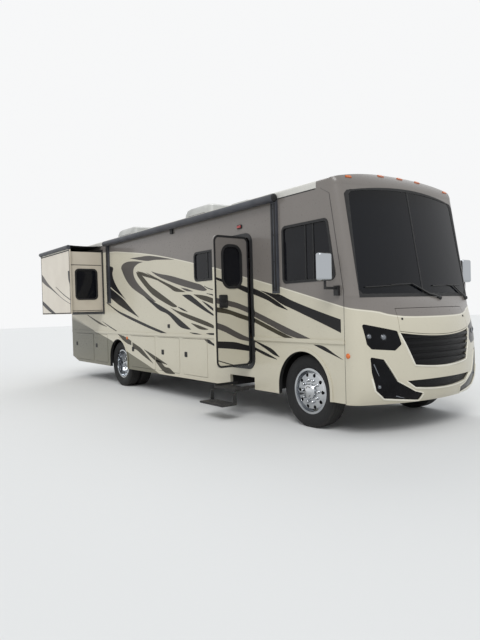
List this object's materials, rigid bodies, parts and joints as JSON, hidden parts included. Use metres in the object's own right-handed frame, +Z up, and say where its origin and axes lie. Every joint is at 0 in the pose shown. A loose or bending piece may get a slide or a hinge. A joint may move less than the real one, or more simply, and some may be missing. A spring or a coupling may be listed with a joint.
{
  "type": "motorhome",
  "caption": "Full-width motorhome with a bowed screen, open entry door and folding step, one rear slide-out room run out, stowed side awning and baggage doors.",
  "frame": {"origin": "bottom centre of the whole model's box as it stands, on the ground", "axes": "+X forward along the coach, +Y to its left, the driver's side, +Z up"},
  "size_m": [9.9929, 3.5729, 3.592],
  "materials": {
    "body_paint": "cream two-pack paint with taupe and dark stripes",
    "roof_white": "off-white moulded",
    "roof_plastic": "off-white moulded covers",
    "chassis_black": "black chassis paint",
    "engine_iron": "as cast",
    "tank_plastic": "black moulded",
    "exhaust_steel": "dull steel",
    "bay_plastic": "black moulded",
    "floor_wood": "board under a brown vinyl",
    "glass_screen": "tinted screen glass",
    "glass_dark": "dark tinted glass",
    "black_gloss": "gloss black",
    "black_plastic": "matt black",
    "lamp_lens": "smoked clear lens",
    "lamp_red": "red lens",
    "awning_grey": "dark grey powder coat",
    "chrome": "polished",
    "wheel_chrome": "polished covers",
    "dash_plastic": "grained dark grey",
    "seat_leather": "taupe",
    "step_aluminium": "ribbed treads",
    "knuckle_iron": "black",
    "tyre": "matt rubber"
  },
  "bodies": {
    "coach": {"frame_rails": "chassis_black", "cross_members": "chassis_black", "engine_block": "engine_iron", "front_axle": "chassis_black", "rear_axle": "chassis_black", "fuel_tank": "tank_plastic", "exhaust": "exhaust_steel", "baggage_bays": "bay_plastic", "floor": "floor_wood", "entry_well": "floor_wood", "wall_right": "body_paint", "wall_left": "body_paint", "roof": "roof_white", "rear_cap": "body_paint", "front_cap": "body_paint", "windshield": "glass_screen", "side_glass": "glass_dark", "front_grilles": "black_gloss", "headlamps": "lamp_lens", "lower_pods": "black_gloss", "awning": "awning_grey", "mirrors": "chrome", "wipers": "black_plastic", "rear_bumper": "chassis_black", "tail_lamps": "lamp_red", "roof_units": "roof_plastic", "dashboard": "dash_plastic", "seats": "seat_leather", "seat_pedestals": "black_plastic", "opening_frames": "black_plastic", "step_housing": "chassis_black"},
    "steering_knuckle_right": {"knuckle_right": "knuckle_iron"},
    "front_wheel_right": {"front_tyre_right": "tyre", "front_rim_right": "wheel_chrome"},
    "rear_wheels_right": {"rear_tyres_right": "tyre", "rear_rims_right": "wheel_chrome"},
    "steering_knuckle_left": {"knuckle_left": "knuckle_iron"},
    "front_wheel_left": {"front_tyre_left": "tyre", "front_rim_left": "wheel_chrome"},
    "rear_wheels_left": {"rear_tyres_left": "tyre", "rear_rims_left": "wheel_chrome"},
    "tie_rod": {"tie_rod": "chassis_black"},
    "steering_wheel": {"steering_wheel": "black_plastic"},
    "entry_door": {"entry_door": "body_paint", "entry_door_glass": "glass_dark"},
    "step_upper": {"step_upper": "step_aluminium"},
    "step_lower": {"step_lower": "step_aluminium"},
    "slide_out": {"slide_out": "body_paint", "slide_window": "glass_dark", "topper": "roof_white"},
    "front_hatch": {"front_hatch": "body_paint"},
    "baggage_right_1": {"baggage_right_1": "body_paint"},
    "baggage_right_2": {"baggage_right_2": "body_paint"},
    "baggage_right_3": {"baggage_right_3": "body_paint"},
    "baggage_right_4": {"baggage_right_4": "body_paint"},
    "baggage_right_5": {"baggage_right_5": "body_paint"},
    "baggage_left_1": {"baggage_left_1": "body_paint"},
    "baggage_left_2": {"baggage_left_2": "body_paint"},
    "baggage_left_3": {"baggage_left_3": "body_paint"}
  },
  "joints": [
    {"name": "steer_right", "type": "hinge", "parent": "coach", "child": "steering_knuckle_right", "pos_m": [3.72847, -0.6535, 0.472], "axis": [0, 0, 1], "range_deg": [-40, 40]},
    {"name": "front_spin_right", "type": "hinge", "parent": "steering_knuckle_right", "child": "front_wheel_right", "pos_m": [3.72847, -0.8035, 0.472], "axis": [0, 1, 0], "continuous": true},
    {"name": "rear_spin_right", "type": "hinge", "parent": "coach", "child": "rear_wheels_right", "pos_m": [-2.06153, -0.8035, 0.472], "axis": [0, 1, 0], "continuous": true},
    {"name": "steer_left", "type": "hinge", "parent": "coach", "child": "steering_knuckle_left", "pos_m": [3.72847, 1.1165, 0.472], "axis": [0, 0, 1], "range_deg": [-40, 40]},
    {"name": "front_spin_left", "type": "hinge", "parent": "steering_knuckle_left", "child": "front_wheel_left", "pos_m": [3.72847, 1.2665, 0.472], "axis": [0, 1, 0], "continuous": true},
    {"name": "rear_spin_left", "type": "hinge", "parent": "coach", "child": "rear_wheels_left", "pos_m": [-2.06153, 1.2665, 0.472], "axis": [0, 1, 0], "continuous": true},
    {"name": "tie_rod_pivot", "type": "hinge", "parent": "steering_knuckle_right", "child": "tie_rod", "pos_m": [3.48847, -0.6535, 0.372], "axis": [0, 0, 1], "range_deg": [-40, 40]},
    {"name": "steering_wheel_turn", "type": "hinge", "parent": "coach", "child": "steering_wheel", "pos_m": [3.84847, 0.8515, 1.86], "axis": [-0.6157, 0, 0.788], "range_deg": [-600, 600]},
    {"name": "entry_door_hinge", "type": "hinge", "parent": "coach", "child": "entry_door", "pos_m": [2.63847, -1.0085, 1.68], "axis": [0, 0, 1], "range_deg": [-94, 16]},
    {"name": "slide_out_travel", "type": "slide", "parent": "coach", "child": "slide_out", "axis": [0, 1, 0], "range_m": [0, 0.696]},
    {"name": "step_out_travel", "type": "slide", "parent": "coach", "child": "step_upper", "axis": [0, 1, 0], "range_m": [0, 0.33]},
    {"name": "step_fold", "type": "slide", "parent": "step_upper", "child": "step_lower", "axis": [0, 0.8288, 0.5595], "range_m": [0, 0.28956]},
    {"name": "front_hatch_hinge", "type": "hinge", "parent": "coach", "child": "front_hatch", "pos_m": [4.86562, 0.2315, 1.528], "axis": [0, -1, 0], "range_deg": [0, 70]},
    {"name": "baggage_right_1_hinge", "type": "hinge", "parent": "coach", "child": "baggage_right_1", "pos_m": [-3.42153, -1.0035, 0.7775], "axis": [0, 0, 1], "range_deg": [0, 105]},
    {"name": "baggage_right_2_hinge", "type": "hinge", "parent": "coach", "child": "baggage_right_2", "pos_m": [-2.61153, -1.0035, 0.7775], "axis": [0, 0, 1], "range_deg": [0, 105]},
    {"name": "baggage_right_3_hinge", "type": "hinge", "parent": "coach", "child": "baggage_right_3", "pos_m": [-0.38153, -1.0035, 0.7775], "axis": [0, 0, 1], "range_deg": [0, 105]},
    {"name": "baggage_right_4_hinge", "type": "hinge", "parent": "coach", "child": "baggage_right_4", "pos_m": [0.52847, -1.0035, 0.7775], "axis": [0, 0, 1], "range_deg": [0, 105]},
    {"name": "baggage_right_5_hinge", "type": "hinge", "parent": "coach", "child": "baggage_right_5", "pos_m": [1.42847, -1.0035, 0.7775], "axis": [0, 0, 1], "range_deg": [0, 105]},
    {"name": "baggage_left_1_hinge", "type": "hinge", "parent": "coach", "child": "baggage_left_1", "pos_m": [-2.77153, 1.4665, 0.7775], "axis": [0, 0, -1], "range_deg": [0, 105]},
    {"name": "baggage_left_2_hinge", "type": "hinge", "parent": "coach", "child": "baggage_left_2", "pos_m": [-0.17153, 1.4665, 0.7775], "axis": [0, 0, -1], "range_deg": [0, 105]},
    {"name": "baggage_left_3_hinge", "type": "hinge", "parent": "coach", "child": "baggage_left_3", "pos_m": [1.32847, 1.4665, 0.7775], "axis": [0, 0, -1], "range_deg": [0, 105]}
  ],
  "couplings": [
    {"joint": "steer_left", "follows": "steer_right", "ratio": 1},
    {"joint": "tie_rod_pivot", "follows": "steer_right", "ratio": -1},
    {"joint": "steering_wheel_turn", "follows": "steer_right", "ratio": 15},
    {"joint": "step_fold", "follows": "step_out_travel", "ratio": 0.87745}
  ]
}
